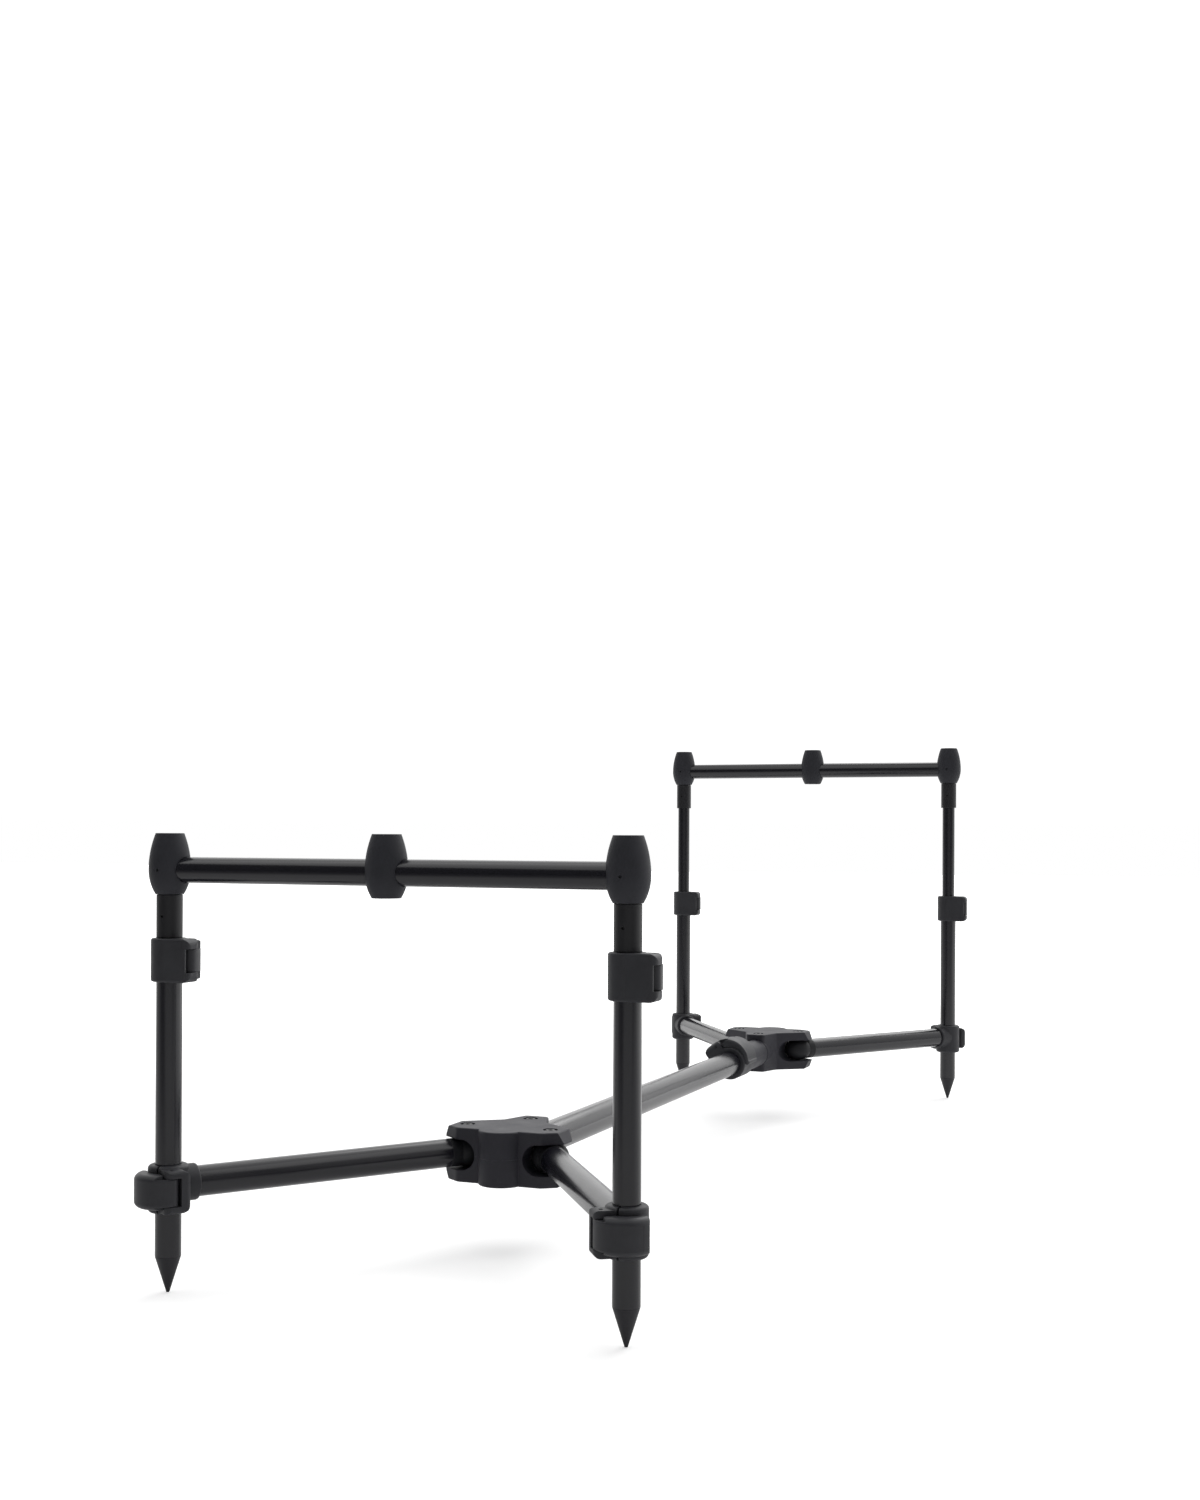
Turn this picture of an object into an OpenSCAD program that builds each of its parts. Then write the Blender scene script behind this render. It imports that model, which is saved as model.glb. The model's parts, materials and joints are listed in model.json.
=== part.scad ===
// Fishing rod pod: a telescopic keel with a hub at each end, four folding arms, four
// telescopic legs on ground spikes, and two bars that each carry three threaded beads.
// The origin is on the floor under the middle of the pod: X across, Y along the keel, Z up.
// Clamp pieces are drawn in their own frame: tube along Z, ears towards X, lever towards Y.

/* [Stance] */
// Distance between the left and right leg axes
leg_spacing = 378; // [340:1:440]
// Distance between the front and rear leg axes
leg_stance = 1230; // [1150:5:1400]
// Height of the keel and arm axes above the spike tips
keel_height = 83; // [79:1:95]
// Height of the leg clamps' top faces above the spike tips
leg_clamp_top = 273; // [262:1:320]
// How far the rear inner tubes are drawn out
rear_extension = 119; // [0:1:150]
// Distance between the two arm pivots of a hub
pivot_spacing = 77; // [74:1:84]
// Distance along the keel from a leg axis to its arm pivot
pivot_setback = 217; // [200:1:240]

/* [Tubes] */
// Outside diameter of the keel's outer tube
keel_d = 28; // [27:0.5:30]
// Outside diameter of the keel's inner tube
keel_inner_d = 24; // [21:0.5:24]
// Length of the keel's inner tube
keel_inner_len = 560; // [480:5:640]
// Outside diameter of the arm tubes
arm_d = 24; // [22:0.5:25]
// Outside diameter of the leg tubes
leg_d = 20; // [19:0.5:21]
// Outside diameter of the inner leg tubes and of their bore in the sleeves
inner_d = 16; // [14:0.5:16]
// Length of the inner leg tubes
inner_len = 243; // [200:1:300]
// Outside diameter of the bar tubes
bar_d = 20; // [18:0.5:22]
// Wall thickness of every tube
tube_wall = 1.7; // [1.2:0.1:1.7]

/* [Spikes and sleeves] */
// Height of a spike's cone
spike_len = 28; // [24:1:34]
// Radius of the blunt tip
spike_tip_r = 1.2; // [0.8:0.1:2]
// Length of the spike's plug inside the leg tube
spike_plug_len = 25; // [15:1:26]
// Outside diameter of the sleeves
sleeve_d = 20; // [19:0.5:22]
// Length of the sleeves
sleeve_len = 33; // [28:0.5:36]
// Thickness of a sleeve's closed top
sleeve_cap = 4; // [3:0.5:6]
// Diameter of the stud on a sleeve
stud_d = 9.4; // [8:0.1:10]
// Length of the stud on a sleeve
stud_len = 7.5; // [6:0.5:8]

/* [Beads] */
// Height of a bead
bead_h = 47; // [45:0.5:52]
// Largest diameter of a bead
bead_d = 32; // [31:0.5:36]
// Diameter of a bead's flat top and bottom
bead_end_d = 21.5; // [20:0.5:24]
// Height of the bar's axis, and of the largest diameter, above the bead's bottom
bar_seat = 18.7; // [18.7:0.1:20]
// How far a bar runs past the axis of its end beads
bar_overrun = 8; // [4:0.5:9]
// Outside diameter of a threaded insert
insert_d = 12; // [11:0.5:14]
// Bore of a threaded insert, the tapping size of a 3/8 inch thread
insert_bore = 8.2; // [7.8:0.1:8.8]
// Length of a threaded insert
insert_len = 12; // [10:0.5:14]
// Diameter of the small locating holes in beads and sleeves
peg_hole_d = 2.4; // [1.6:0.1:3]
// Depth of the small locating holes
peg_hole_depth = 1.5; // [1:0.1:1.6]

/* [Hubs] */
// Height of a hub
hub_h = 46; // [45:0.5:54]
// Height of the slots that the arms swing in
slot_h = 26; // [26:0.5:28]
// How far the slots reach in past the arm pivots
slot_depth = 16.5; // [16:0.5:18]
// How far a hub reaches past its arm pivots
tip_reach = 16.5; // [16:0.5:22]
// How far the tips lean in towards the top and bottom faces
tip_draft = 4.5; // [2:0.5:6]
// Half width of the tips' outer ends
tip_half = 9; // [7:0.5:12]
// Distance from the pivot line to the hub's front edge
hub_front = 21; // [20:0.5:26]
// Radius of the bulge in the middle of the front
bulge_r = 19.5; // [14:0.5:21]
// How far the bulge stands out from the pivot line
bulge_reach = 34; // [30:0.5:40]
// Distance from the pivot line to the end of the keel nose
nose_len = 61; // [60:1:80]
// Half width of the keel nose's end
nose_half = 11; // [10:0.5:14]
// Half width of the hub where its flanks meet the nose
waist_half = 20; // [18:0.5:22]
// Where the hub's flanks meet the nose, behind the pivot line
waist_setback = 34; // [30:0.5:38]
// Outside radius of the keel socket between the two plates
keel_socket_r = 17; // [16:0.5:18]
// Corner radius of the tips
tip_corner = 4; // [2:0.5:5]
// Corner radius of the front edge
front_corner = 8; // [4:0.5:9]
// Corner radius at the waist and the nose
nose_corner = 5; // [3:0.5:6]
// How far the keel tubes start behind the pivot line
keel_inset = 12; // [8:0.5:20]
// Radius of the rear hub's round neck
neck_r = 16.5; // [15:0.5:17]
// Length of the rear hub's round neck
neck_len = 65; // [45:1:75]

/* [Bolts] */
// Shank diameter of the hub bolts
bolt_d = 6; // [5:0.5:7]
// Head diameter of the hub bolts
bolt_head_d = 10; // [9:0.5:11]
// Head height of the hub bolts
bolt_head_h = 4; // [3:0.5:4]
// Height of the chamfer round a bolt head
bolt_crown = 1.1; // [0.5:0.1:1.5]
// Width across the flats of the socket in a bolt head
bolt_socket = 4; // [3:0.5:5]
// Depth of the socket in a bolt head
bolt_socket_depth = 2.6; // [2:0.1:2.8]
// Diameter of the recesses around the bolt heads
recess_d = 13; // [12.5:0.5:14]
// Depth of the recesses around the bolt heads and nuts
recess_depth = 4.2; // [4:0.1:7]
// Width across the flats of the nuts
nut_flats = 10; // [9:0.5:10.5]
// Height of the nuts
nut_h = 4; // [3.5:0.5:4]
// Distance from the pivot line to the keel bolt
keel_bolt_setback = 46; // [43:0.5:48]
// Reach of an arm's eye past its pivot
arm_overrun = 16; // [9:0.5:16]
// Distance from a pivot to the end of its arm tube
arm_start = 20; // [16:0.5:26]
// Length of an arm eye's plug inside the tube
arm_plug_len = 30; // [24:1:50]

/* [Clamps] */
// Height of the leg clamps
leg_clamp_h = 33.5; // [31:0.5:36]
// Rounding of the leg clamps' edges
leg_clamp_edge = 1.8; // [1:0.1:2.5]
// Rounding of the leg clamps' ears
leg_ear_edge = 5.5; // [2:0.5:6]
// Thickness of the leg clamps' wall in front of the knuckle
leg_front_wall = 2.5; // [2:0.1:3.5]
// Wall of the leg clamps' collar
leg_collar_wall = 4; // [3.5:0.5:5]
// How far the leg tube reaches into its clamp
leg_clamp_seat = 17; // [14:0.5:19]
// Height of the arm clamps
arm_clamp_h = 36.5; // [35:0.5:42]
// Rounding of the arm clamps' collar edges
arm_clamp_edge = 3; // [1:0.5:4]
// Rounding of the arm clamps' ears
arm_ear_edge = 4; // [2:0.5:4.5]
// Rounding of the arm clamps' front edges
arm_front_edge = 8; // [3:0.5:9]
// How far the arm clamps' blocks reach back from the leg axis
arm_block_back = 9.5; // [8.5:0.5:11]
// Thickness of the arm clamps' wall behind the knuckle
arm_back_wall = 8; // [6:0.1:8.2]
// How far the arm clamps' pins lie in front of the leg axis
arm_pin_out = 4.8; // [4:0.1:5.5]
// How far the arm clamps' knuckles are let into the collar
arm_pin_tuck = 1.9; // [1:0.1:2.2]
// Height of the arm clamps' ears
arm_ear_h = 33; // [31:0.5:35]
// How far the arm clamps' middles lie below the arm axes
arm_clamp_drop = 2.5; // [0:0.5:3]
// Wall of the arm clamps' collar
arm_collar_wall = 5.5; // [5:0.5:6.5]
// Diameter of the boss around the end of an arm tube
boss_d = 28.5; // [28:0.5:30]
// Rounding of the boss's mouth
boss_edge = 1.5; // [0.5:0.1:1.8]
// Distance from the leg axis to the mouth of the boss
boss_reach = 22; // [20:0.5:28]
// Distance from the leg axis to the bottom of the arm's socket
socket_reach = 13; // [12:0.5:14]
// Length of the keel clamp
keel_clamp_len = 42; // [38:0.5:48]
// Wall of the keel clamp's collar
keel_collar_wall = 5; // [4.5:0.5:6]
// Rounding of the keel clamp's edges
keel_clamp_edge = 2; // [1:0.1:2.5]
// Rounding of the keel clamp's ears
keel_ear_edge = 8; // [4:0.5:10]
// Thickness of the keel clamp's wall in front of the knuckle
keel_front_wall = 4; // [3:0.1:5]
// How far the keel's outer tube reaches into its clamp
keel_clamp_seat = 21; // [18:0.5:26]
// Direction of the keel clamp's ears, up and to the left
keel_ear_angle = 126; // [110:1:140]
// How far the leg and keel clamps' pins lie behind the tube axis
pin_back = 2; // [1:0.1:2.5]
// How far the leg and keel clamps' flat fronts lie inside their collars' curve
front_inset = 0.4; // [0.3:0.05:0.8]
// Distance from the leg and keel clamps' pins to the mouth of the knuckle's window
window_mouth = 3; // [2:0.1:4]
// Angle from the ears to the split in a collar
split_turn = 9; // [8:0.5:14]
// Width of the split in a collar
split_w = 1.6; // [1:0.1:2]

/* [Levers] */
// Radius of a lever's knuckle
knuckle_r = 5.4; // [5:0.1:6]
// How far the ears stand out past the knuckle
ear_over = 0.3; // [0.2:0.05:0.4]
// Diameter of a lever's hinge pin
pin_d = 3.2; // [2.5:0.1:4]
// How far the ends of a hinge pin lie below the ears' outer faces
pin_recess = 1.5; // [0.5:0.1:2]
// Height of the window for a leg clamp's knuckle
leg_window_h = 18; // [16:0.5:20]
// Height of a leg clamp's lever
leg_paddle_h = 30; // [26:0.5:31]
// Rounding of a leg clamp lever's edges
leg_lever_edge = 3; // [2:0.5:4]
// How far the centre of a leg clamp lever's curve lies towards its pin
leg_lever_shift = 4; // [3.5:0.1:4.5]
// How far a leg clamp's lever reaches past the tube axis
leg_lever_reach = 8; // [6:0.5:9]
// How far the tip of a leg clamp's lever stands out
leg_lever_lip = 0.8; // [0.4:0.1:1.2]
// Height of the window for an arm clamp's knuckle
arm_window_h = 21.6; // [18:0.1:24]
// Height of an arm clamp's lever
arm_paddle_h = 26.5; // [25:0.5:32]
// Rounding of an arm clamp lever's edges
arm_lever_edge = 5.5; // [3:0.5:7]
// How far the centre of an arm clamp lever's curve lies towards its pin
arm_lever_shift = 3; // [2.5:0.1:3.5]
// How far an arm clamp's lever reaches past the leg axis
arm_lever_reach = 6; // [4:0.5:8]
// How far the tip of an arm clamp's lever stands out
arm_lever_lip = 0.2; // [0.1:0.1:0.6]
// Height of the window for the keel clamp's knuckle
keel_window_h = 24; // [20:0.5:28]
// Height of the keel clamp's lever
keel_paddle_h = 38; // [34:0.5:38]
// Rounding of the keel clamp lever's edges
keel_lever_edge = 5; // [3:0.5:6]
// How far the centre of the keel clamp lever's curve lies towards its pin
keel_lever_shift = 4; // [3.5:0.1:4.5]
// How far the keel clamp's lever reaches past the keel axis
keel_lever_reach = 11; // [8:0.5:12]
// How far the tip of the keel clamp's lever stands out
keel_lever_lip = 1; // [0.4:0.1:1.4]

/* [Clearances] */
// Radial gap of a pressed or glued joint
fit_gap = 0.02; // [0.01:0.01:0.04]
// Radial gap of a running joint
run_gap = 0.05; // [0.02:0.01:0.08]
// Radial gap between telescopic tubes
slide_gap = 0.3; // [0.2:0.05:0.4]
// Gap around a lever's knuckle
knuckle_gap = 0.6; // [0.4:0.05:0.8]
// Gap between a lever's paddle and the ears
swing_gap = 0.8; // [0.6:0.05:1.2]
// Gap between faces that pass or meet without touching
face_gap = 0.4; // [0.3:0.05:0.5]

/* [Hidden] */
$fn = 64;
corner_steps = 6;
past = 1;

keel_r = keel_d / 2;
keel_inner_r = keel_inner_d / 2;
arm_r = arm_d / 2;
leg_r = leg_d / 2;
inner_r = inner_d / 2;
bar_r = bar_d / 2;
bolt_r = bolt_d / 2;
pin_r = pin_d / 2;

// Places of the legs, pivots and arms
leg_x = leg_spacing / 2;
leg_y = leg_stance / 2;
pivot_x = pivot_spacing / 2;
pivot_y = leg_y - pivot_setback;
arm_vector = [leg_x - pivot_x, -pivot_setback];
arm_len = norm(arm_vector);
arm_angle = atan2(arm_vector.y, arm_vector.x);
hub_tip = pivot_x + tip_reach;
core_half = pivot_x - slot_depth;
arm_clamp_z = keel_height - arm_clamp_drop;

bolt_places = [[-pivot_x, 0], [pivot_x, 0], [0, keel_bolt_setback]];

// Heights of the post pieces, before any extension: a leg is long enough for its inner tube
leg_head = max(leg_clamp_top, spike_len + spike_plug_len + inner_len + sleeve_cap - sleeve_len);
leg_clamp_z = leg_head - leg_clamp_h / 2;
leg_tube_top = leg_head - leg_clamp_h + leg_clamp_seat;
sleeve_z = leg_head + face_gap;
sleeve_top = sleeve_z + sleeve_len;
bead_z = sleeve_top + face_gap;
inner_top = sleeve_top - sleeve_cap;

// Places along the keel
rear_neck_end = pivot_y - nose_len - neck_len;
keel_clamp_y = rear_neck_end - face_gap - keel_clamp_len / 2;
keel_front = keel_inset - pivot_y;
keel_back = keel_clamp_y - keel_clamp_len / 2 + keel_clamp_seat;

// Clamp outlines: collars, ears and the places of the pins
ear_r = knuckle_r + ear_over;
pocket_r = knuckle_r + knuckle_gap;
leg_collar_r = leg_r + leg_collar_wall;
arm_collar_r = leg_r + arm_collar_wall;
keel_collar_r = keel_r + keel_collar_wall;
leg_pin = [leg_collar_r + pocket_r, -pin_back];
arm_pin = [arm_collar_r + pocket_r - arm_pin_tuck, arm_pin_out];
keel_pin = [keel_collar_r + pocket_r, -pin_back];
leg_clamp_front = front_inset - leg_collar_r;
keel_clamp_front = front_inset - keel_collar_r;

ENDS = ["front", "rear"];
SIDES = ["left", "right"];
CORNER_PIECES = [
    "arm_tube", "arm_plug", "arm_clamp", "arm_lever", "leg_tube",
    "spike", "leg_clamp", "leg_lever", "inner_tube", "sleeve"
];
HUB_PIECES = ["hub_upper", "hub_lower", "hub_bolts"];
BAR_PIECES = ["bar_tube", "left_bead", "centre_bead", "right_bead", "bar_inserts"];
NODES = concat(
    ["keel_outer_tube", "keel_inner_tube", "keel_clamp", "keel_lever"],
    [for (end = ENDS) for (piece = concat(HUB_PIECES, BAR_PIECES)) str(end, "_", piece)],
    [for (end = ENDS) for (side = SIDES) for (piece = CORNER_PIECES) str(end, "_", side, "_", piece)]
);
node = "all";

function wanted(name) = node == "all" || node == name;
function end_sign(end) = end == "front" ? -1 : 1;
function side_sign(side) = side == "left" ? -1 : 1;
function extension(end) = end == "front" ? 0 : rear_extension;
function flat(point) = [point.x, point.y];
function unit(v) = v / norm(v);

// Points along a rounded corner at q, coming from p and leaving for s
function corner_points(p, q, s, r) = let (
        u = unit(p - q),
        v = unit(s - q),
        half = acos(u * v) / 2,
        centre = q + unit(u + v) * r / sin(half),
        start = q + u * r / tan(half) - centre,
        stop = q + v * r / tan(half) - centre,
        from = atan2(start.y, start.x),
        sweep = atan2(start.x * stop.y - start.y * stop.x, start * stop)
    )
    [for (i = [0:corner_steps]) let (turn = from + sweep * i / corner_steps) centre + r * [cos(turn), sin(turn)]];

// An outline whose corners, given as [x, y, radius], are rounded
function rounded(points) = let (n = len(points))
    [for (i = [0:n - 1])
        each points[i].z > 0
            ? corner_points(flat(points[(i + n - 1) % n]), flat(points[i]), flat(points[(i + 1) % n]), points[i].z)
            : [flat(points[i])]
    ];

// Places a piece drawn for the front right corner at another corner
module at_corner(end, side) {
    mirror([side == "left" ? 1 : 0, 0, 0])
        mirror([0, end == "rear" ? 1 : 0, 0])
            children();
}

module at_leg(end, side) {
    translate([side_sign(side) * leg_x, end_sign(end) * leg_y, 0])
        children();
}

// Turns the frame of a clamp so that its tube lies along the keel
module along_keel() {
    translate([0, keel_clamp_y, keel_height])
        rotate([-90, 0, 0])
            rotate([0, 0, -keel_ear_angle])
                children();
}

module tube(r, wall, length) {
    difference() {
        cylinder(r = r, h = length);
        translate([0, 0, -past])
            cylinder(r = r - wall, h = length + 2 * past);
    }
}

// A round bar along the arm, from one distance to another past the pivot
module along_arm(from) {
    translate([pivot_x, -pivot_y, keel_height])
        rotate([0, 90, arm_angle])
            translate([0, 0, from])
                children();
}

// Half section of a disc whose outer edges are rounded
module rounded_disc_profile(r, height, edge_r) {
    square([r - edge_r, height / 2]);
    square([r, height / 2 - edge_r]);
    translate([r - edge_r, height / 2 - edge_r])
        circle(r = edge_r);
}

module rounded_disc(r, height, edge_r) {
    rotate_extrude() {
        rounded_disc_profile(r, height, edge_r);
        mirror([0, 1])
            rounded_disc_profile(r, height, edge_r);
    }
}

// Plan of a clamp's block and ears, with the block's front face at front_y
module block_plan(pin, front_y, end_edge) {
    end_x = pin.x + ear_r;
    polygon(rounded([[0, front_y, 0], [end_x, front_y, end_edge], [end_x, pin.y, 0], [0, pin.y, 0]]));
    translate([0, pin.y])
        square([pin.x, ear_r]);
    translate(pin)
        circle(r = ear_r);
}

// A clamp's block, rounded at its outer end and along its front
module clamp_block(height, pin, front_y, front_edge, end_edge) {
    end_x = pin.x + ear_r;
    intersection() {
        translate([0, 0, -height / 2])
            linear_extrude(height)
                block_plan(pin, front_y, end_edge);
        rotate([90, 0, 0])
            translate([0, 0, -end_x])
                linear_extrude(2 * end_x)
                    polygon(rounded([
                        [-past, -height / 2, 0], [end_x, -height / 2, end_edge],
                        [end_x, height / 2, end_edge], [-past, height / 2, 0]
                    ]));
        rotate([90, 0, 90])
            translate([0, 0, -past])
                linear_extrude(end_x + 2 * past)
                    polygon(rounded([
                        [end_x, -height / 2, 0], [end_x, height / 2, 0],
                        [front_y, height / 2, front_edge], [front_y, -height / 2, front_edge]
                    ]));
    }
}

// The window that a lever's knuckle turns in, open to the front beyond mouth_x
module clamp_window(collar_r, pin, window_y, window_h, mouth_x) {
    ear_y = pin.y + ear_r;
    root_x = sqrt(collar_r * collar_r - ear_y * ear_y);
    translate([0, 0, -window_h / 2])
        linear_extrude(window_h) {
            translate(pin)
                circle(r = pocket_r);
            translate([pin.x - past, window_y])
                square([2 * pocket_r, 4 * pocket_r]);
            difference() {
                translate([root_x, pin.y])
                    square([4 * pocket_r, 4 * pocket_r]);
                circle(r = collar_r - face_gap / 2);
            }
            translate([mouth_x, -4 * pocket_r])
                square([2 * pocket_r, 4 * pocket_r]);
        }
}

// The split through a collar, just past its ears, from the height split_from upwards
module clamp_split(collar_r, height, pin, split_from) {
    rotate([0, 0, asin((pin.y + ear_r) / collar_r) + split_turn])
        translate([0, -split_w / 2, split_from])
            cube([collar_r + past, split_w, 2 * height]);
}

// A clamp's moulding without its tube bores
module clamp_moulding(
    collar_r, height, edge_r, ear_h, pin, front_y, front_edge, end_edge, window_y, window_h, mouth_x, split_from
) {
    difference() {
        union() {
            rounded_disc(collar_r, height, edge_r);
            clamp_block(ear_h, pin, front_y, front_edge, end_edge);
        }
        clamp_window(collar_r, pin, window_y, window_h, mouth_x);
        translate([pin.x, pin.y, -height])
            cylinder(r = pin_r + run_gap, h = 2 * height);
        clamp_split(collar_r, height, pin, split_from);
    }
}

// Plan of a lever's crescent, which lies round the collar from the knuckle to its tip
module lever_crescent(collar_r, pin, shift, tip_x, tip_lip) {
    inner = collar_r + face_gap;
    outer = pin.x + knuckle_r - shift;
    tip_inner = sqrt(inner * inner - tip_x * tip_x);
    tip_outer = pin.y + sqrt(outer * outer - (tip_x - shift) * (tip_x - shift)) + tip_lip;
    difference() {
        intersection() {
            translate([shift, pin.y])
                circle(r = outer);
            translate([tip_x, pin.y])
                square([2 * outer, 2 * outer]);
        }
        circle(r = inner);
    }
    translate([tip_x, (tip_inner + tip_outer) / 2])
        circle(r = (tip_outer - tip_inner) / 2);
}

// A cam lever: knuckle between the ears, paddle round the collar, and its hinge pin
module clamp_lever(collar_r, ear_h, pin, window_h, paddle_h, edge_r, shift, tip_x, tip_lip) {
    root_y = pin.y + ear_r + swing_gap;
    knuckle_h = window_h - 2 * face_gap;
    difference() {
        intersection() {
            union() {
                translate([0, 0, -knuckle_h / 2])
                    linear_extrude(knuckle_h) {
                        translate(pin)
                            circle(r = knuckle_r);
                        lever_crescent(collar_r, pin, shift, tip_x, tip_lip);
                    }
                translate([0, 0, -paddle_h / 2])
                    linear_extrude(paddle_h)
                        intersection() {
                            lever_crescent(collar_r, pin, shift, tip_x, tip_lip);
                            translate([-2 * collar_r, root_y])
                                square([2 * collar_r + pin.x, 2 * collar_r]);
                        }
            }
            translate([shift, pin.y, 0])
                rounded_disc(pin.x + knuckle_r - shift + tip_lip, paddle_h, edge_r);
        }
        translate([pin.x, pin.y, -ear_h])
            cylinder(r = pin_r + fit_gap, h = 2 * ear_h);
    }
    translate([pin.x, pin.y, pin_recess - ear_h / 2])
        cylinder(r = pin_r, h = ear_h - 2 * pin_recess);
}

// Plan of a hub, with the pivot line along X and the keel towards Y
module hub_plan() {
    polygon(rounded([
        [-hub_tip, -tip_half, tip_corner], [-pivot_x, -hub_front, front_corner],
        [pivot_x, -hub_front, front_corner], [hub_tip, -tip_half, tip_corner],
        [hub_tip, tip_half, tip_corner], [waist_half, waist_setback, nose_corner],
        [nose_half, nose_len, nose_corner], [-nose_half, nose_len, nose_corner],
        [-waist_half, waist_setback, nose_corner], [-hub_tip, tip_half, tip_corner]
    ]));
    translate([0, bulge_r - bulge_reach])
        circle(r = bulge_r);
}

// Front view of a hub: drafted tips
module hub_front_view() {
    half = hub_h / 2;
    slot = slot_h / 2;
    polygon([
        [hub_tip - tip_draft, -half], [hub_tip, -slot], [hub_tip, slot], [hub_tip - tip_draft, half],
        [tip_draft - hub_tip, half], [-hub_tip, slot], [-hub_tip, -slot], [tip_draft - hub_tip, -half]
    ]);
}

// The slot that an arm swings in, round at its inner end
module arm_slot() {
    slot_r = slot_h / 2;
    rotate([90, 0, 0])
        translate([0, 0, -2 * nose_len])
            linear_extrude(4 * nose_len) {
                translate([core_half + slot_r, 0])
                    circle(r = slot_r);
                translate([core_half + slot_r, -slot_r])
                    square([hub_tip, slot_h]);
            }
}

// A whole hub, before it is parted: keel_bore_r is the socket for its keel tube
module hub_solid(keel_bore_r) {
    difference() {
        union() {
            intersection() {
                translate([0, 0, -hub_h / 2])
                    linear_extrude(hub_h)
                        hub_plan();
                rotate([90, 0, 0])
                    translate([0, 0, -2 * nose_len])
                        linear_extrude(4 * nose_len)
                            hub_front_view();
            }
            rotate([-90, 0, 0])
                cylinder(r = keel_socket_r, h = nose_len);
        }
        arm_slot();
        mirror([1, 0, 0])
            arm_slot();
        hub_holes(keel_bore_r);
    }
}

// Everything drilled in a hub: keel socket, bolt holes, head recesses and nut pockets
module hub_holes(keel_bore_r) {
    translate([0, keel_inset, 0])
        rotate([-90, 0, 0])
            cylinder(r = keel_bore_r, h = 2 * nose_len + neck_len);
    for (place = bolt_places)
        translate(place) {
            translate([0, 0, -hub_h])
                cylinder(r = bolt_r + run_gap, h = 2 * hub_h);
            translate([0, 0, hub_h / 2 - recess_depth])
                cylinder(d = recess_d, h = hub_h);
            translate([0, 0, recess_depth - hub_h / 2 - hub_h])
                cylinder(d = (nut_flats + 2 * run_gap) / cos(30), h = hub_h, $fn = 6);
        }
}

// One half of a hub: upper is 1 for the top half and -1 for the bottom half
module hub_half(upper, keel_bore_r, neck) {
    intersection() {
        union() {
            hub_solid(keel_bore_r);
            if (neck > 0)
                translate([0, nose_len, 0])
                    rotate([-90, 0, 0])
                        difference() {
                            cylinder(r = neck_r, h = neck);
                            translate([0, 0, -past])
                                cylinder(r = keel_bore_r, h = neck + 2 * past);
                        }
        }
        translate([-2 * hub_tip, -2 * hub_tip, upper > 0 ? 0 : -hub_h])
            cube([4 * hub_tip, 2 * (hub_tip + nose_len + neck_len), hub_h]);
    }
}

module at_hub(end) {
    mirror([0, end == "rear" ? 1 : 0, 0])
        translate([0, -pivot_y, keel_height])
            children();
}

module hub_piece(end, upper) {
    color([0.15, 0.15, 0.17])
        at_hub(end)
            hub_half(upper, end == "front" ? keel_r + fit_gap : keel_inner_r + fit_gap, end == "front" ? 0 : neck_len);
}

module hub_upper(end) {
    hub_piece(end, 1);
}

module hub_lower(end) {
    hub_piece(end, -1);
}

// A hub bolt with its socket, and the nut under it
module hub_bolt() {
    head_z = hub_h / 2 - recess_depth;
    difference() {
        union() {
            translate([0, 0, head_z])
                cylinder(d = bolt_head_d, h = bolt_head_h - bolt_crown);
            translate([0, 0, head_z + bolt_head_h - bolt_crown])
                cylinder(d1 = bolt_head_d, d2 = bolt_head_d - 2 * bolt_crown, h = bolt_crown);
            translate([0, 0, -head_z - nut_h])
                cylinder(r = bolt_r, h = 2 * head_z + nut_h);
        }
        translate([0, 0, head_z + bolt_head_h - bolt_socket_depth])
            cylinder(d = bolt_socket / cos(30), h = bolt_head_h, $fn = 6);
    }
    translate([0, 0, -head_z - nut_h])
        difference() {
            cylinder(d = nut_flats / cos(30), h = nut_h, $fn = 6);
            translate([0, 0, -past])
                cylinder(r = bolt_r + fit_gap, h = nut_h + 2 * past);
        }
}

module hub_bolts(end) {
    color([0.3, 0.3, 0.32])
        at_hub(end)
            for (place = bolt_places)
                translate(place)
                    hub_bolt();
}

module keel_outer_tube() {
    color([0.2, 0.2, 0.21])
        difference() {
            translate([0, keel_front, keel_height])
                rotate([-90, 0, 0])
                    tube(keel_r, keel_r - keel_inner_r - slide_gap, keel_back - keel_front);
            translate([0, keel_bolt_setback - pivot_y, keel_height - keel_d])
                cylinder(r = bolt_r + run_gap, h = 2 * keel_d);
        }
}

module keel_inner_tube() {
    color([0.2, 0.2, 0.21])
        difference() {
            translate([0, -keel_front - keel_inner_len, keel_height])
                rotate([-90, 0, 0])
                    tube(keel_inner_r, tube_wall, keel_inner_len);
            translate([0, pivot_y - keel_bolt_setback, keel_height - keel_d])
                cylinder(r = bolt_r + run_gap, h = 2 * keel_d);
        }
}

module keel_clamp() {
    color([0.16, 0.16, 0.17])
        along_keel()
            difference() {
                clamp_moulding(
                    collar_r = keel_collar_r, height = keel_clamp_len, edge_r = keel_clamp_edge,
                    ear_h = keel_clamp_len, pin = keel_pin, front_y = keel_clamp_front,
                    front_edge = keel_clamp_edge, end_edge = keel_ear_edge,
                    window_y = keel_clamp_front + keel_front_wall, window_h = keel_window_h,
                    mouth_x = keel_pin.x + window_mouth, split_from = keel_clamp_seat - keel_clamp_len / 2
                );
                translate([0, 0, -keel_clamp_len])
                    cylinder(r = keel_r + fit_gap, h = keel_clamp_seat + keel_clamp_len / 2);
                cylinder(r = keel_inner_r + run_gap, h = keel_clamp_len);
            }
}

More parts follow.
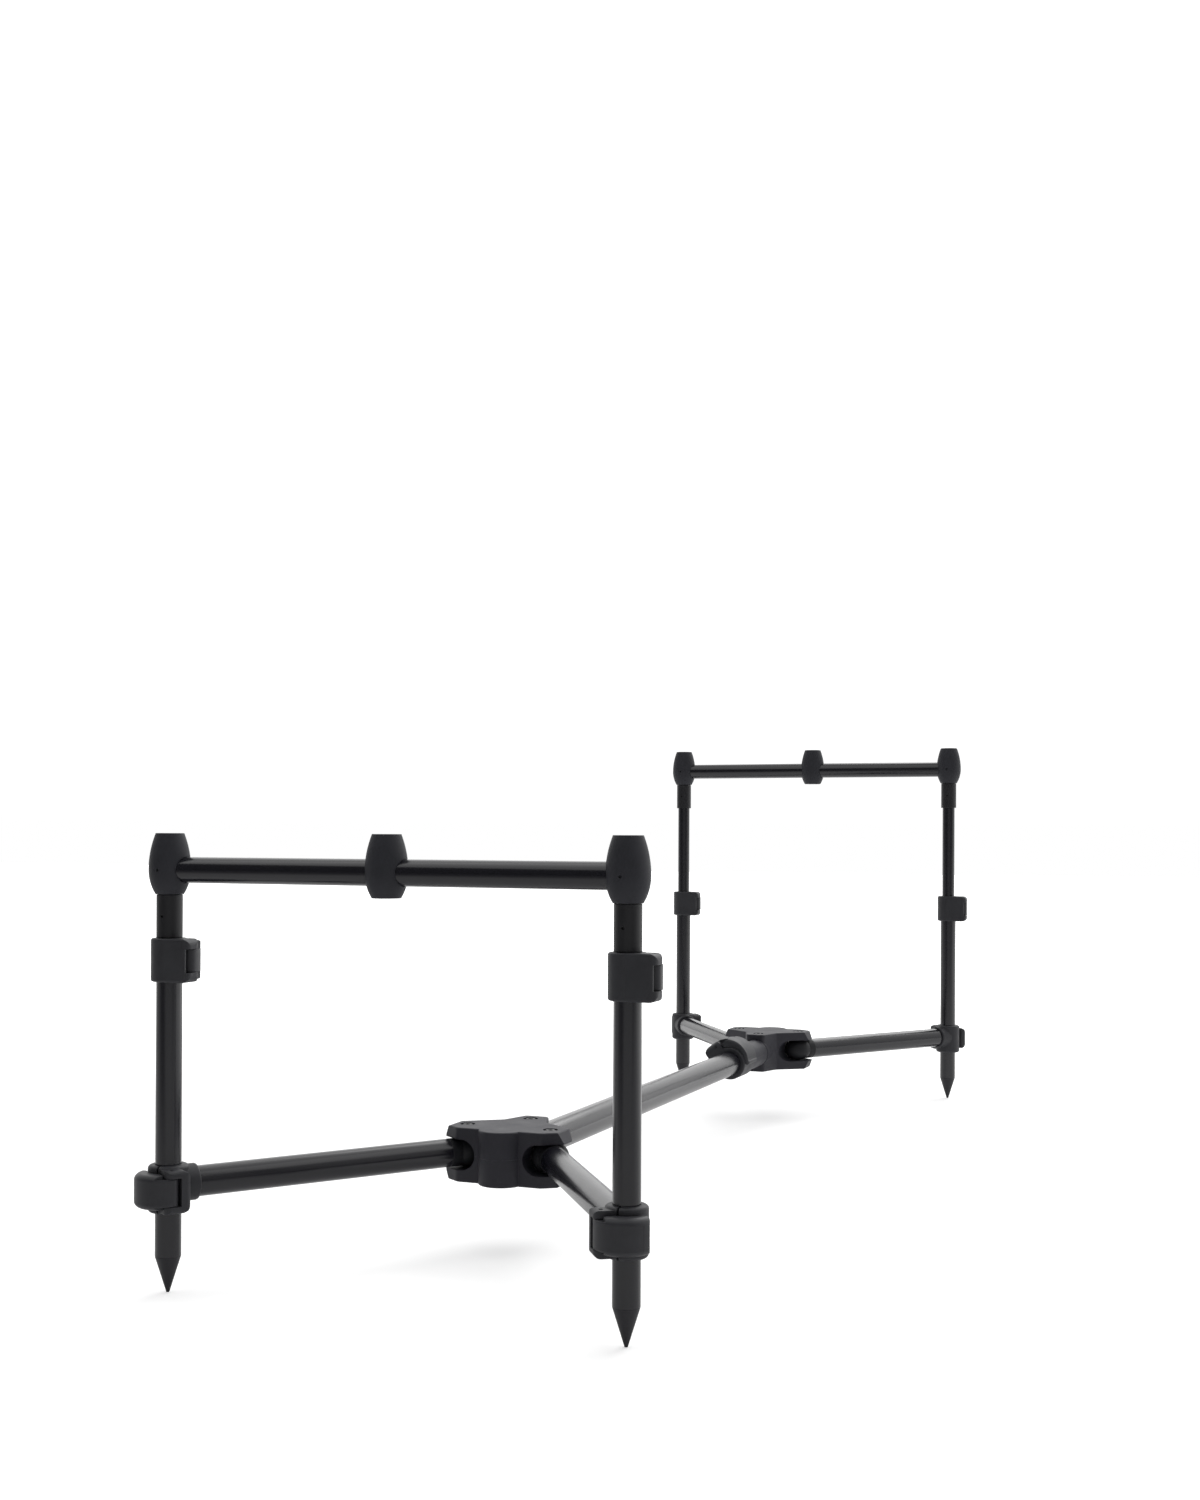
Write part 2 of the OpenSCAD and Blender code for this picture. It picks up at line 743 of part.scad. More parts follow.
module keel_lever() {
    color([0.16, 0.16, 0.17])
        along_keel()
            clamp_lever(
                collar_r = keel_collar_r, ear_h = keel_clamp_len, pin = keel_pin, window_h = keel_window_h,
                paddle_h = keel_paddle_h, edge_r = keel_lever_edge, shift = keel_lever_shift,
                tip_x = -keel_lever_reach, tip_lip = keel_lever_lip
            );
}

// The hole for an arm's pivot bolt
module pivot_bore() {
    translate([pivot_x, -pivot_y, keel_height - slot_h])
        cylinder(r = bolt_r + run_gap, h = 2 * slot_h);
}

module arm_tube(end, side) {
    color([0.2, 0.2, 0.21])
        at_corner(end, side)
            along_arm(arm_start + fit_gap)
                tube(arm_r, tube_wall, arm_len - socket_reach - arm_start - fit_gap);
}

// Half section of an arm's eye, which follows the round end of its slot
module eye_profile() {
    eye_half = slot_h / 2 - face_gap;
    round_x = slot_depth - slot_h / 2;
    intersection() {
        translate([0, -eye_half])
            square([arm_overrun, 2 * eye_half]);
        union() {
            translate([round_x, 0])
                circle(r = eye_half);
            translate([0, -eye_half])
                square([round_x, 2 * eye_half]);
        }
    }
}

// The hinge end of an arm: its eye on the pivot bolt, a stub as thick as the tube and a plug inside it
module arm_plug(end, side) {
    color([0.14, 0.14, 0.15])
        at_corner(end, side)
            difference() {
                union() {
                    translate([pivot_x, -pivot_y, keel_height])
                        rotate_extrude()
                            eye_profile();
                    along_arm(0)
                        cylinder(r = arm_r, h = arm_start);
                    along_arm(arm_start - past)
                        cylinder(r = arm_r - tube_wall - fit_gap, h = arm_plug_len + past);
                }
                pivot_bore();
            }
}

// Turns a clamp so that its lever faces out along the arm
module at_arm_clamp(end, side) {
    at_corner(end, side)
        translate([leg_x, -leg_y, arm_clamp_z])
            rotate([0, 0, arm_angle - 90])
                children();
}

module arm_clamp(end, side) {
    color([0.16, 0.16, 0.17])
        at_arm_clamp(end, side)
            difference() {
                union() {
                    clamp_moulding(
                        collar_r = arm_collar_r, height = arm_clamp_h, edge_r = arm_clamp_edge,
                        ear_h = arm_ear_h, pin = arm_pin, front_y = -arm_block_back,
                        front_edge = arm_front_edge, end_edge = arm_ear_edge,
                        window_y = arm_back_wall - arm_block_back, window_h = arm_window_h,
                        mouth_x = arm_pin.x + pocket_r, split_from = -arm_clamp_h
                    );
                    translate([0, 0, arm_clamp_drop])
                        rotate([90, 0, 0])
                            rotate_extrude()
                                rounded_disc_profile(boss_d / 2, 2 * boss_reach, boss_edge);
                }
                translate([0, 0, arm_clamp_drop])
                    rotate([90, 0, 0])
                        translate([0, 0, socket_reach - fit_gap])
                            cylinder(r = arm_r + fit_gap, h = boss_reach);
                translate([0, 0, -arm_clamp_h])
                    cylinder(r = leg_r + run_gap, h = 2 * arm_clamp_h);
            }
}

module arm_lever(end, side) {
    color([0.16, 0.16, 0.17])
        at_arm_clamp(end, side)
            clamp_lever(
                collar_r = arm_collar_r, ear_h = arm_ear_h, pin = arm_pin, window_h = arm_window_h,
                paddle_h = arm_paddle_h, edge_r = arm_lever_edge, shift = arm_lever_shift,
                tip_x = -arm_lever_reach, tip_lip = arm_lever_lip
            );
}

module leg_tube(end, side) {
    color([0.19, 0.19, 0.2])
        at_leg(end, side)
            translate([0, 0, spike_len])
                tube(leg_r, leg_r - inner_r - slide_gap, leg_tube_top - spike_len);
}

module spike(end, side) {
    color([0.15, 0.15, 0.16])
        at_leg(end, side) {
            cylinder(r1 = spike_tip_r, r2 = leg_r, h = spike_len);
            translate([0, 0, spike_len - past])
                cylinder(r = inner_r + slide_gap - fit_gap, h = spike_plug_len + past);
        }
}

module leg_clamp(end, side) {
    color([0.16, 0.16, 0.17])
        at_leg(end, side)
            translate([0, 0, leg_clamp_z])
                difference() {
                    clamp_moulding(
                        collar_r = leg_collar_r, height = leg_clamp_h, edge_r = leg_clamp_edge,
                        ear_h = leg_clamp_h, pin = leg_pin, front_y = leg_clamp_front,
                        front_edge = leg_clamp_edge, end_edge = leg_ear_edge,
                        window_y = leg_clamp_front + leg_front_wall, window_h = leg_window_h,
                        mouth_x = leg_pin.x + window_mouth, split_from = leg_clamp_seat - leg_clamp_h / 2
                    );
                    translate([0, 0, -leg_clamp_h])
                        cylinder(r = leg_r + fit_gap, h = leg_clamp_seat + leg_clamp_h / 2);
                    translate([0, 0, -leg_clamp_h])
                        cylinder(r = inner_r + run_gap, h = 2 * leg_clamp_h);
                }
}

module leg_lever(end, side) {
    color([0.16, 0.16, 0.17])
        at_leg(end, side)
            translate([0, 0, leg_clamp_z])
                clamp_lever(
                    collar_r = leg_collar_r, ear_h = leg_clamp_h, pin = leg_pin, window_h = leg_window_h,
                    paddle_h = leg_paddle_h, edge_r = leg_lever_edge, shift = leg_lever_shift,
                    tip_x = -leg_lever_reach, tip_lip = leg_lever_lip
                );
}

module inner_tube(end, side) {
    color([0.19, 0.19, 0.2])
        at_leg(end, side)
            translate([0, 0, inner_top - inner_len + extension(end)])
                tube(inner_r, tube_wall, inner_len);
}

// A sleeve: only the left ones carry the stud that holds the bar
module sleeve(end, side) {
    color([0.17, 0.17, 0.18])
        at_leg(end, side)
            translate([0, 0, sleeve_z + extension(end)])
                difference() {
                    union() {
                        cylinder(d = sleeve_d, h = sleeve_len);
                        if (side == "left")
                            cylinder(d = stud_d, h = sleeve_len + stud_len);
                    }
                    translate([0, 0, -past])
                        cylinder(r = inner_r + fit_gap, h = sleeve_len - sleeve_cap + past);
                    translate([0, 0, sleeve_len / 2])
                        rotate([90, 0, 0])
                            translate([0, 0, sleeve_d / 2 - peg_hole_depth])
                                cylinder(d = peg_hole_d, h = sleeve_d);
                }
}

// Half outline of a bead: two arcs that meet at its largest diameter
module bead_profile() {
    for (height = [-bar_seat, bead_h - bar_seat]) {
        drop = (bead_d - bead_end_d) / 2;
        arc_r = (drop * drop + height * height) / (2 * drop);
        intersection() {
            translate([bead_d / 2 - arc_r, 0])
                circle(r = arc_r, $fn = 200);
            translate([0, min(height, 0)])
                square([bead_d, abs(height)]);
        }
    }
}

// A bead standing on its bottom, with the pocket for its threaded insert
module bead_blank() {
    difference() {
        translate([0, 0, bar_seat])
            rotate_extrude()
                bead_profile();
        translate([0, 0, bead_h - insert_len])
            cylinder(r = insert_d / 2 + fit_gap, h = bead_h);
    }
}

// The locating hole on the front of an end bead and the socket for the sleeve's stud
module end_bead_holes() {
    translate([0, 0, bar_seat])
        rotate([90, 0, 0])
            translate([0, 0, bead_d / 2 - peg_hole_depth])
                cylinder(d = peg_hole_d, h = bead_d);
    translate([0, 0, -past])
        cylinder(r = stud_d / 2 + run_gap, h = stud_len + past);
}

// Bar socket of a bead: reach is how far it goes past the bead's axis, away from the bar
module bar_socket(toward, reach) {
    translate([-toward * reach, 0, bar_seat])
        rotate([0, toward * 90, 0])
            cylinder(r = bar_r + fit_gap, h = bead_d + reach);
}

module at_bar(end, x) {
    translate([x, end_sign(end) * leg_y, bead_z + extension(end)])
        children();
}

module left_bead(end) {
    color([0.13, 0.13, 0.14])
        at_bar(end, -leg_x)
            difference() {
                bead_blank();
                end_bead_holes();
                bar_socket(1, bar_overrun);
            }
}

module centre_bead(end) {
    color([0.13, 0.13, 0.14])
        at_bar(end, 0)
            difference() {
                bead_blank();
                bar_socket(1, bead_d);
            }
}

module right_bead(end) {
    color([0.13, 0.13, 0.14])
        at_bar(end, leg_x)
            difference() {
                bead_blank();
                end_bead_holes();
                bar_socket(-1, bar_overrun);
            }
}

module bar_tube(end) {
    color([0.19, 0.19, 0.2])
        at_bar(end, -leg_x - bar_overrun)
            translate([0, 0, bar_seat])
                rotate([0, 90, 0])
                    tube(bar_r, tube_wall, leg_spacing + 2 * bar_overrun);
}

module bar_inserts(end) {
    color([0.45, 0.45, 0.47])
        for (x = [-leg_x, 0, leg_x])
            at_bar(end, x)
                translate([0, 0, bead_h - insert_len])
                    tube(insert_d / 2, (insert_d - insert_bore) / 2, insert_len);
}

if (wanted("keel_outer_tube")) keel_outer_tube();
if (wanted("keel_inner_tube")) keel_inner_tube();
if (wanted("keel_clamp")) keel_clamp();
if (wanted("keel_lever")) keel_lever();
for (end = ENDS) {
    if (wanted(str(end, "_hub_upper"))) hub_upper(end);
    if (wanted(str(end, "_hub_lower"))) hub_lower(end);
    if (wanted(str(end, "_hub_bolts"))) hub_bolts(end);
    if (wanted(str(end, "_bar_tube"))) bar_tube(end);
    if (wanted(str(end, "_left_bead"))) left_bead(end);
    if (wanted(str(end, "_centre_bead"))) centre_bead(end);
    if (wanted(str(end, "_right_bead"))) right_bead(end);
    if (wanted(str(end, "_bar_inserts"))) bar_inserts(end);
    for (side = SIDES) {
        if (wanted(str(end, "_", side, "_arm_tube"))) arm_tube(end, side);
        if (wanted(str(end, "_", side, "_arm_plug"))) arm_plug(end, side);
        if (wanted(str(end, "_", side, "_arm_clamp"))) arm_clamp(end, side);
        if (wanted(str(end, "_", side, "_arm_lever"))) arm_lever(end, side);
        if (wanted(str(end, "_", side, "_leg_tube"))) leg_tube(end, side);
        if (wanted(str(end, "_", side, "_spike"))) spike(end, side);
        if (wanted(str(end, "_", side, "_leg_clamp"))) leg_clamp(end, side);
        if (wanted(str(end, "_", side, "_leg_lever"))) leg_lever(end, side);
        if (wanted(str(end, "_", side, "_inner_tube"))) inner_tube(end, side);
        if (wanted(str(end, "_", side, "_sleeve"))) sleeve(end, side);
    }
}
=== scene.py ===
"""Rod pod: finishes, rounded hub rims, cut threads and a studio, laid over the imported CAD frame."""

import json
import math

import bmesh
import bpy
from bpy.props import FloatProperty, FloatVectorProperty, PointerProperty
from bpy.types import NodeSocket, Operator, Panel, PropertyGroup
from mathutils import Matrix, Vector


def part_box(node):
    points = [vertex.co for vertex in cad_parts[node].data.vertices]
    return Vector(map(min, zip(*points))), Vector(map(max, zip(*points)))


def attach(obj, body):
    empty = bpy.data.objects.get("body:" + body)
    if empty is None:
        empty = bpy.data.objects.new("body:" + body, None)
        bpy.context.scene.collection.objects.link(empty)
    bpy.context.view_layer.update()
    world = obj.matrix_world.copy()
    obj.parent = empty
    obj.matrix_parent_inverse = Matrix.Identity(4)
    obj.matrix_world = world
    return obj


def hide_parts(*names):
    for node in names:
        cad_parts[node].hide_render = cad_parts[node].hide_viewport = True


bl_info = {
    "name": "Rod Pod",
    "version": (1, 0, 0),
    "blender": (4, 5, 0),
    "location": "View3D > Sidebar > Rod Pod",
    "description": "Finishes, hub rims, threads and studio for a folding rod pod",
    "category": "Object",
}

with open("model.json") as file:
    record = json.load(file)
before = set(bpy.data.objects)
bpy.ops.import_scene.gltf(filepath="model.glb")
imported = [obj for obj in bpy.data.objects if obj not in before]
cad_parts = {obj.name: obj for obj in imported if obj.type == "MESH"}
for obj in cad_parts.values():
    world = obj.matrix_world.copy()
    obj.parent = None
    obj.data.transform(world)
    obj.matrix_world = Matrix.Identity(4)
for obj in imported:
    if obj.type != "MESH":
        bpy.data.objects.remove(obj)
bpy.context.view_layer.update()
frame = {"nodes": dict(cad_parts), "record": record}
NODES = frame["nodes"]
ENDS = ("front", "rear")
SIDES = ("left", "right")
CORNERS = [f"{end}_{side}" for end in ENDS for side in SIDES]
HUB_BODIES = {"front": "keel", "rear": "rear_hub"}

# Roughness, height of the grain in metres and specular level of each moulded surface
CLAMP_SURFACE = (0.52, 0.00003, 0.3)
LEVER_SURFACE = (0.48, 0.000024, 0.3)
PLUG_SURFACE = (0.55, 0.00002, 0.2)
HUB_SURFACE = (0.55, 0.00004, 0.3)
BEAD_SURFACE = (0.6, 0.00002, 0.25)
SPIKE_SURFACE = (0.45, 0.000008, 0.35)

# Roughness of each steel
BOLT_ROUGHNESS = 0.42
INSERT_ROUGHNESS = 0.3

# Place, width in metres and power in watts of each soft lamp
LAMPS = {
    "key lamp": ((-0.8, -1.1, 2.9), 2.6, 26),
    "fill lamp": ((1.7, -0.6, 2.8), 2.0, 10),
    "back lamp": ((0.6, 2.6, 2.8), 2.6, 45),
}
LAMP_TARGET = (0, 0, 0.2)
WHITE = (1, 1, 1, 1)


# Settings

def metres(name, description, default):
    """A length setting."""
    return FloatProperty(
        name=name, description=description, default=default, min=0, unit="LENGTH", precision=5
    )


def share(name, description, default):
    """A setting from 0 to 1."""
    return FloatProperty(
        name=name, description=description, default=default, min=0, max=1, subtype="FACTOR"
    )


def angle(name, description, default):
    """An angle setting, in radians."""
    return FloatProperty(name=name, description=description, default=default, subtype="ANGLE")


def tint(name, description, default):
    """A colour setting."""
    return FloatVectorProperty(
        name=name, description=description, default=default, size=3, min=0, max=1, subtype="COLOR"
    )


class FinishSettings(PropertyGroup):
    """Colours and surface of the pod's finishes."""

    tube: tint("Tubes", "Black anodising on the tubes", (0.0062, 0.0061, 0.0092))
    tube_roughness: share("Tube roughness", "Satin of the anodising", 0.2)
    moulding: tint("Mouldings", "Black of the clamps and levers", (0.0236, 0.024, 0.0278))
    hub: tint("Hubs", "Black of the hub halves", (0.0212, 0.0209, 0.0276))
    bead: tint("Beads", "Black of the beads", (0.0206, 0.0212, 0.0262))
    spike: tint("Spikes", "Black of the spikes", (0.0125, 0.0122, 0.0158))
    sleeve: tint("Sleeves", "Black of the sleeves", (0.0072, 0.0072, 0.009))
    bolt: tint("Bolts", "Black oxide on the bolts", (0.03, 0.03, 0.032))
    insert: tint("Inserts", "Plain steel of the threaded inserts", (0.32, 0.32, 0.33))
    grain: metres("Grain", "Width of the moulded grain", 0.0007)
    soft_edge: metres("Soft edge", "Radius of the moulded edges", 0.0009)
    hub_rim: metres("Hub rim", "Radius round the hubs' top and bottom faces", 0.0014)


class ThreadSettings(PropertyGroup):
    """The 3/8 inch thread in the beads' inserts."""

    pitch: metres("Pitch", "Distance between turns", 0.00127)
    depth: metres("Depth", "Depth of the groove", 0.0006)
    mouth: metres("Mouth", "Width of the chamfer at the mouth", 0.0007)


class StageSettings(PropertyGroup):
    """Camera, floor and light."""

    eye: FloatVectorProperty(
        name="Eye", description="Place of the camera",
        default=(0.6103, -1.7344, 0.3542), size=3, subtype="TRANSLATION",
    )
    yaw: angle("Yaw", "Turn of the camera to the left", 0.3752)
    pitch: angle("Pitch", "Tilt of the camera", 0.0016)
    roll: angle("Roll", "Roll of the camera", 0.0045)
    lens: FloatProperty(name="Lens", description="Focal length in millimetres", default=41.49, min=1)
    shift_x: FloatProperty(name="Shift X", description="Sideways shift of the frame", default=-0.0014)
    shift_y: FloatProperty(name="Shift Y", description="Upward shift of the frame", default=0.0545)
    floor: tint("Floor", "Pale floor", (0.9, 0.9, 0.9))
    front_light: share("Front light", "Light from the camera's side of the studio", 0.1)
    window_light: share("Window light", "Light added straight in front of the pod", 0.3)
    back_light: FloatProperty(
        name="Back light", description="Light from the back of the studio", default=1.45, min=0
    )


# Node helpers

def feed(tree, socket, value):
    """Gives an input a link or a value."""
    if isinstance(value, NodeSocket):
        tree.links.new(value, socket)
    else:
        socket.default_value = value


def add(tree, kind, inputs=None, **settings):
    """A node with its settings and the values or links of its inputs."""
    node = tree.nodes.new(kind)
    for name, value in settings.items():
        setattr(node, name, value)
    for name, value in (inputs or {}).items():
        feed(tree, node.inputs[name], value)
    return node


def maths(tree, operation, a, b):
    """The value of a two-number operation."""
    return add(tree, "ShaderNodeMath", {0: a, 1: b}, operation=operation).outputs[0]


def vectors(tree, operation, *inputs):
    """The vector or value of an operation on vectors."""
    node = add(tree, "ShaderNodeVectorMath", dict(enumerate(inputs)), operation=operation)
    return node.outputs["Value" if operation in ("DOT_PRODUCT", "LENGTH") else "Vector"]


def between(tree, value, low, high, to_low=0.0, to_high=1.0):
    """A value moved from one range to another."""
    return add(
        tree, "ShaderNodeMapRange", {0: value, 1: low, 2: high, 3: to_low, 4: to_high}
    ).outputs["Result"]


def mixed(tree, factor, first, second):
    """A colour between two colours."""
    node = add(tree, "ShaderNodeMix", {"Factor": factor}, data_type="RGBA")
    for name, value in (("A", first), ("B", second)):
        socket = next(s for s in node.inputs if s.name == name and s.type == "RGBA")
        feed(tree, socket, value if isinstance(value, NodeSocket) else (*value, 1.0))
    return next(s for s in node.outputs if s.type == "RGBA")


def noise(tree, where, scale, detail, roughness):
    """Soft noise from 0 to 1."""
    return add(
        tree, "ShaderNodeTexNoise",
        {"Vector": where, "Scale": scale, "Detail": detail, "Roughness": roughness},
    ).outputs["Fac"]


def object_place(tree):
    """The place on an object, in metres."""
    return add(tree, "ShaderNodeTexCoord").outputs["Object"]


def scaled(colour, factor):
    """A colour made lighter or darker."""
    return tuple(min(1.0, c * factor) for c in colour)


# Effects that several finishes share

def new_group(name, inputs, outputs):
    """A shader node group with named sockets, and its two end nodes."""
    tree = bpy.data.node_groups.new(name, "ShaderNodeTree")
    for sockets, way in ((inputs, "INPUT"), (outputs, "OUTPUT")):
        for socket, kind in sockets:
            tree.interface.new_socket(name=socket, in_out=way, socket_type="NodeSocket" + kind)
    return tree, tree.nodes.new("NodeGroupInput").outputs, tree.nodes.new("NodeGroupOutput").inputs


def soft_edges_group(name):
    """Rounded normals along the edges, and where those edges are."""
    flat, edge = 0.995, 0.85
    tree, given, wanted = new_group(
        name, [("Radius", "Float")], [("Normal", "Vector"), ("Edge", "Float")]
    )
    rounded = add(tree, "ShaderNodeBevel", {"Radius": given["Radius"]}, samples=6).outputs["Normal"]
    face = add(tree, "ShaderNodeNewGeometry").outputs["Normal"]
    agree = vectors(tree, "DOT_PRODUCT", rounded, face)
    tree.links.new(rounded, wanted["Normal"])
    tree.links.new(between(tree, agree, flat, edge), wanted["Edge"])
    return tree


def grain_group(name):
    """Fine moulded grain, and the slow mottle of a moulded surface."""
    fine_share, cell_share = 0.6, 0.5
    mottles_per_metre = 55.0
    tree, given, wanted = new_group(
        name, [("Vector", "Vector"), ("Width", "Float")], [("Height", "Float"), ("Mottle", "Float")]
    )
    where = given["Vector"]
    scale = maths(tree, "DIVIDE", 1.0, given["Width"])
    fine = maths(tree, "MULTIPLY", noise(tree, where, scale, 2.0, 0.6), fine_share)
    distance = add(
        tree, "ShaderNodeTexVoronoi", {"Vector": where, "Scale": scale}, feature="SMOOTH_F1"
    ).outputs["Distance"]
    cells = maths(tree, "MULTIPLY", distance, cell_share)
    mottle = noise(tree, where, mottles_per_metre, 4.0, 0.65)
    tree.links.new(maths(tree, "ADD", fine, cells), wanted["Height"])
    tree.links.new(between(tree, mottle, 0.3, 0.7), wanted["Mottle"])
    return tree


def drawn_group(name):
    """Fine lines along a drawn tube, with its length along Z, and slow handling marks."""
    lines_per_metre = (1500.0, 1500.0, 7.0)
    marks_per_metre = 38.0
    tree, given, wanted = new_group(
        name, [("Vector", "Vector")], [("Lines", "Float"), ("Marks", "Float")]
    )
    stretched = vectors(tree, "MULTIPLY", given["Vector"], lines_per_metre)
    marks = noise(tree, given["Vector"], marks_per_metre, 5.0, 0.6)
    tree.links.new(noise(tree, stretched, 1.0, 3.0, 0.7), wanted["Lines"])
    tree.links.new(between(tree, marks, 0.42, 0.72), wanted["Marks"])
    return tree


GROUPS = {
    "Soft edges": soft_edges_group,
    "Moulded grain": grain_group,
    "Drawn lines": drawn_group,
}


def placed(tree, name, inputs):
    """The outputs of a shared effect placed in a material, built the first time it is asked for."""
    node = tree.nodes.new("ShaderNodeGroup")
    node.node_tree = bpy.data.node_groups.get(name) or GROUPS[name](name)
    for socket, value in inputs.items():
        feed(tree, node.inputs[socket], value)
    return node.outputs


# Finishes

def new_material(name):
    """A material, its nodes and the inputs of its Principled BSDF."""
    material = bpy.data.materials.new(name)
    material.use_nodes = True
    tree = material.node_tree
    return material, tree, tree.nodes["Principled BSDF"].inputs


def relief(tree, height, distance, normal=None):
    """The normal of a height over the surface, or over softened normals."""
    bump = add(tree, "ShaderNodeBump", {"Height": height, "Strength": 1.0, "Distance": distance})
    if normal is not None:
        feed(tree, bump.inputs["Normal"], normal)
    return bump.outputs["Normal"]


def moulded_material(name, colour, surface):
    """Moulded plastic: grain, mottle, soft edges, and paler edges that are partly rubbed wear and
    partly a painted highlight.
    """
    # The third tone pales the edges: partly rubbed wear, partly a painted highlight.
    dark, light, edge_wear_and_highlight = 0.88, 1.14, 1.6
    least_wear_and_highlight, most_wear_and_highlight = 0.3, 0.8
    smoother, rougher = 0.05, 0.06
    roughness, grain_height, specular = surface
    finish = bpy.context.scene.pod_finish
    material, tree, shader = new_material(name)
    grain = placed(tree, "Moulded grain", {"Vector": object_place(tree), "Width": finish.grain})
    edges = placed(tree, "Soft edges", {"Radius": finish.soft_edge})
    mottle = grain["Mottle"]
    body = mixed(tree, mottle, scaled(colour, dark), scaled(colour, light))
    # How strongly the edges pale follows the mottle; the pale edges are partly wear, partly painted
    # highlight.
    wear_and_highlight_share = between(tree, mottle, 0.0, 1.0, least_wear_and_highlight, most_wear_and_highlight)
    wear_and_highlight_mask = maths(tree, "MULTIPLY", edges["Edge"], wear_and_highlight_share)
    satin = between(tree, mottle, 0.0, 1.0, roughness - smoother, roughness + rougher)
    # Paler colour along every edge: partly rubbed wear, partly a painted highlight.
    feed(tree, shader["Base Color"], mixed(tree, wear_and_highlight_mask, body, scaled(colour, edge_wear_and_highlight)))
    feed(tree, shader["Roughness"], satin)
    feed(tree, shader["Normal"], relief(tree, grain["Height"], grain_height, edges["Normal"]))
    feed(tree, shader["Specular IOR Level"], specular)
    return material


def tube_material(name, direction):
    """Satin black anodised tube, drawn along a direction."""
    dark, light = 0.85, 1.2
    line_depth, line_satin, mark_satin = 0.0000005, 0.02, 0.03
    finish = bpy.context.scene.pod_finish
    material, tree, shader = new_material(name)
    turn = Vector(direction).rotation_difference(Vector((0, 0, 1))).to_euler()
    upright = add(
        tree, "ShaderNodeMapping", {"Vector": object_place(tree), "Rotation": turn}
    ).outputs["Vector"]
    drawn = placed(tree, "Drawn lines", {"Vector": upright})
    lines = drawn["Lines"]
    colour, satin = tuple(finish.tube), finish.tube_roughness
    lined = between(tree, lines, 0.3, 0.7, satin - line_satin, satin + line_satin)
    marked = maths(tree, "MULTIPLY", drawn["Marks"], mark_satin)
    feed(tree, shader["Base Color"], mixed(tree, lines, scaled(colour, dark), scaled(colour, light)))
    feed(tree, shader["Roughness"], maths(tree, "ADD", lined, marked))
    feed(tree, shader["Normal"], relief(tree, lines, line_depth))
    feed(tree, shader["Specular IOR Level"], 0.5)
    return material


def steel_material(name, colour, roughness):
    """Turned steel with a faint bloom and a painted highlight along its edges."""
    dark, light, painted_edge_highlight = 0.8, 1.25, 1.8
    edge_radius, bloom_height = 0.0003, 0.00001
    blooms_per_metre = 900.0
    smoother, rougher = 0.06, 0.08
    material, tree, shader = new_material(name)
    edges = placed(tree, "Soft edges", {"Radius": edge_radius})
    bloom = noise(tree, object_place(tree), blooms_per_metre, 4.0, 0.6)
    body = mixed(tree, bloom, scaled(colour, dark), scaled(colour, light))
    satin = between(tree, bloom, 0.3, 0.7, roughness - smoother, roughness + rougher)
    # Paler colour along every edge: a painted highlight.
    feed(tree, shader["Base Color"], mixed(tree, edges["Edge"], body, scaled(colour, painted_edge_highlight)))
    feed(tree, shader["Roughness"], satin)
    feed(tree, shader["Normal"], relief(tree, bloom, bloom_height, edges["Normal"]))
    feed(tree, shader["Metallic"], 1.0)
    return material


def dress(names, material):
    """Gives CAD nodes a material."""
    for name in names:
        slots = NODES[name].data.materials
        slots.clear()
        slots.append(material)


# Forms

def in_scene(name, data):
    """A new object in the scene."""
    item = bpy.data.objects.new(name, data)
    bpy.context.scene.collection.objects.link(item)
    return item


def longest_run(edges):
    """The longest of the runs that joined edges make."""
    left = set(edges)
    runs = []
    while left:
        ahead = [left.pop()]
        run = []
        while ahead:
            edge = ahead.pop()
            run.append(edge)
            joined = left.intersection(other for vert in edge.verts for other in vert.link_edges)
            left -= joined
            ahead += joined
        runs.append(run)
    return max(runs, key=lambda run: sum(edge.calc_length() for edge in run))


def rounded_half(name, node, face, radius):
    """A hub half whose outer rim is rounded at the height of one face."""
    same_place = 0.00002
    same_plane, rim_angle, sharp_angle = (math.radians(degrees) for degrees in (0.1, 35, 7.5))
    form = bmesh.new()
    form.from_mesh(NODES[node].data)
    bmesh.ops.remove_doubles(form, verts=form.verts, dist=same_place)
    bmesh.ops.dissolve_limit(form, angle_limit=same_plane, verts=form.verts, edges=form.edges)
    rims = [
        edge for edge in form.edges
        if edge.calc_face_angle() > rim_angle
        and all(abs(vert.co.z - face) < same_place for vert in edge.verts)
    ]
    bmesh.ops.bevel(
        form, geom=longest_run(rims), offset=radius, offset_type="OFFSET",
        segments=14, profile=0.5, affect="EDGES",
    )
    mesh = bpy.data.meshes.new(name)
    form.to_mesh(mesh)
    form.free()
    mesh.shade_smooth()
    mesh.set_sharp_from_angle(angle=sharp_angle)
    piece = in_scene(name, mesh)
    piece.modifiers.new("flat faces", "WEIGHTED_NORMAL").keep_sharp = True
    return piece


